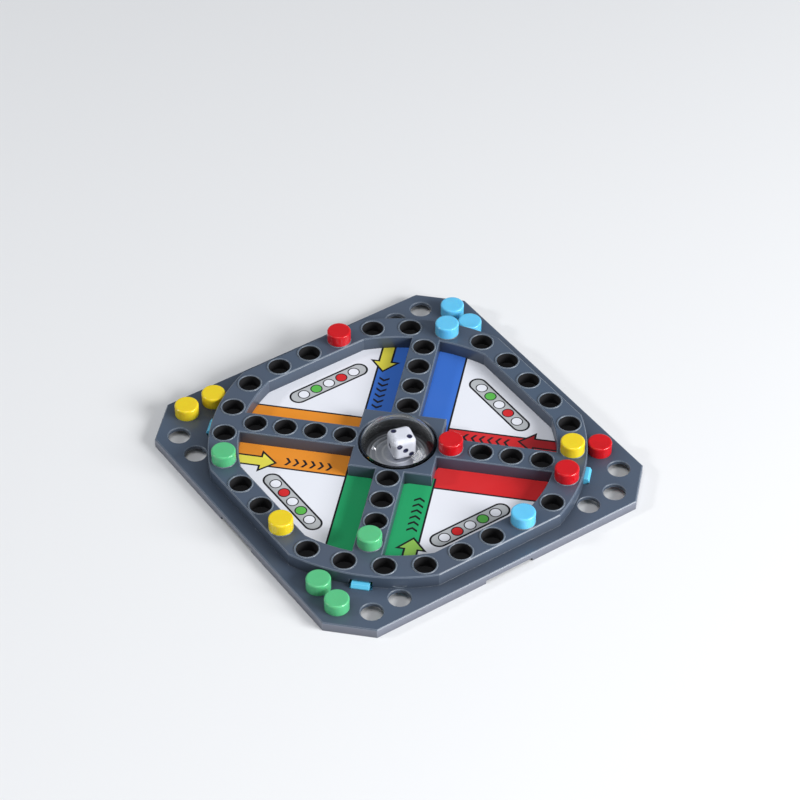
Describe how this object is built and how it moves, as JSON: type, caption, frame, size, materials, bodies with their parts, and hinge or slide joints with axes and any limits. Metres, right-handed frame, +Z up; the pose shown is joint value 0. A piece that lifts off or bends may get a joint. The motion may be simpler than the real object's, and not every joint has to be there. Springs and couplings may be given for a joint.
{
  "type": "pop up dice board game",
  "caption": "Travel size race board game with a raised peg track, cross arms, a clear press dome over a die, a printed card and coloured pegs.",
  "frame": {"origin": "on the table under the middle of the board", "axes": "+Z up; the board's flat sides lie along X and Y, its four home corners on the diagonals"},
  "size_m": [0.125, 0.125, 0.0155],
  "materials": {
    "frame_plastic": "dark slate blue moulded polystyrene, half gloss",
    "plate_plastic": "light blue moulded plastic, half gloss",
    "card": "thin printed card with a coated face",
    "clear_plastic": "clear polished polystyrene",
    "disc_steel": "bright tinplate",
    "die_plastic": "white moulded plastic with dark blue painted pips",
    "yellow_peg_plastic": "yellow moulded plastic, glossy",
    "red_peg_plastic": "red moulded plastic, glossy",
    "blue_peg_plastic": "light blue moulded plastic, glossy",
    "green_peg_plastic": "mint green moulded plastic, glossy"
  },
  "bodies": {
    "board": {"board_frame": "frame_plastic", "base_plate": "plate_plastic", "game_card": "card", "snap_disc": "disc_steel"},
    "dome": {"dome": "clear_plastic"},
    "die": {"die": "die_plastic"},
    "peg_yellow_1": {"peg_yellow_1": "yellow_peg_plastic"},
    "peg_yellow_2": {"peg_yellow_2": "yellow_peg_plastic"},
    "peg_yellow_3": {"peg_yellow_3": "yellow_peg_plastic"},
    "peg_yellow_4": {"peg_yellow_4": "yellow_peg_plastic"},
    "peg_red_1": {"peg_red_1": "red_peg_plastic"},
    "peg_red_2": {"peg_red_2": "red_peg_plastic"},
    "peg_red_3": {"peg_red_3": "red_peg_plastic"},
    "peg_red_4": {"peg_red_4": "red_peg_plastic"},
    "peg_blue_1": {"peg_blue_1": "blue_peg_plastic"},
    "peg_blue_2": {"peg_blue_2": "blue_peg_plastic"},
    "peg_blue_3": {"peg_blue_3": "blue_peg_plastic"},
    "peg_blue_4": {"peg_blue_4": "blue_peg_plastic"},
    "peg_green_1": {"peg_green_1": "green_peg_plastic"},
    "peg_green_2": {"peg_green_2": "green_peg_plastic"},
    "peg_green_3": {"peg_green_3": "green_peg_plastic"},
    "peg_green_4": {"peg_green_4": "green_peg_plastic"}
  },
  "joints": [
    {"name": "dome_press", "type": "slide", "parent": "board", "child": "dome", "axis": [0, 0, -1], "range_m": [0, 0.001], "stiffness_N_per_m": 2500, "springref_m": -0.0004, "deforming": ["snap_disc"]},
    {"name": "die_hop", "type": "slide", "parent": "board", "child": "die", "axis": [0, 0, 1], "range_m": [0, 0.0006]},
    {"name": "peg_yellow_1_lift", "type": "slide", "parent": "board", "child": "peg_yellow_1", "axis": [0, 0, 1], "range_m": [0, 0.014]},
    {"name": "peg_yellow_2_lift", "type": "slide", "parent": "board", "child": "peg_yellow_2", "axis": [0, 0, 1], "range_m": [0, 0.014]},
    {"name": "peg_yellow_3_lift", "type": "slide", "parent": "board", "child": "peg_yellow_3", "axis": [0, 0, 1], "range_m": [0, 0.014]},
    {"name": "peg_yellow_4_lift", "type": "slide", "parent": "board", "child": "peg_yellow_4", "axis": [0, 0, 1], "range_m": [0, 0.014]},
    {"name": "peg_red_1_lift", "type": "slide", "parent": "board", "child": "peg_red_1", "axis": [0, 0, 1], "range_m": [0, 0.014]},
    {"name": "peg_red_2_lift", "type": "slide", "parent": "board", "child": "peg_red_2", "axis": [0, 0, 1], "range_m": [0, 0.014]},
    {"name": "peg_red_3_lift", "type": "slide", "parent": "board", "child": "peg_red_3", "axis": [0, 0, 1], "range_m": [0, 0.014]},
    {"name": "peg_red_4_lift", "type": "slide", "parent": "board", "child": "peg_red_4", "axis": [0, 0, 1], "range_m": [0, 0.014]},
    {"name": "peg_blue_1_lift", "type": "slide", "parent": "board", "child": "peg_blue_1", "axis": [0, 0, 1], "range_m": [0, 0.014]},
    {"name": "peg_blue_2_lift", "type": "slide", "parent": "board", "child": "peg_blue_2", "axis": [0, 0, 1], "range_m": [0, 0.014]},
    {"name": "peg_blue_3_lift", "type": "slide", "parent": "board", "child": "peg_blue_3", "axis": [0, 0, 1], "range_m": [0, 0.014]},
    {"name": "peg_blue_4_lift", "type": "slide", "parent": "board", "child": "peg_blue_4", "axis": [0, 0, 1], "range_m": [0, 0.014]},
    {"name": "peg_green_1_lift", "type": "slide", "parent": "board", "child": "peg_green_1", "axis": [0, 0, 1], "range_m": [0, 0.014]},
    {"name": "peg_green_2_lift", "type": "slide", "parent": "board", "child": "peg_green_2", "axis": [0, 0, 1], "range_m": [0, 0.014]},
    {"name": "peg_green_3_lift", "type": "slide", "parent": "board", "child": "peg_green_3", "axis": [0, 0, 1], "range_m": [0, 0.014]},
    {"name": "peg_green_4_lift", "type": "slide", "parent": "board", "child": "peg_green_4", "axis": [0, 0, 1], "range_m": [0, 0.014]}
  ]
}
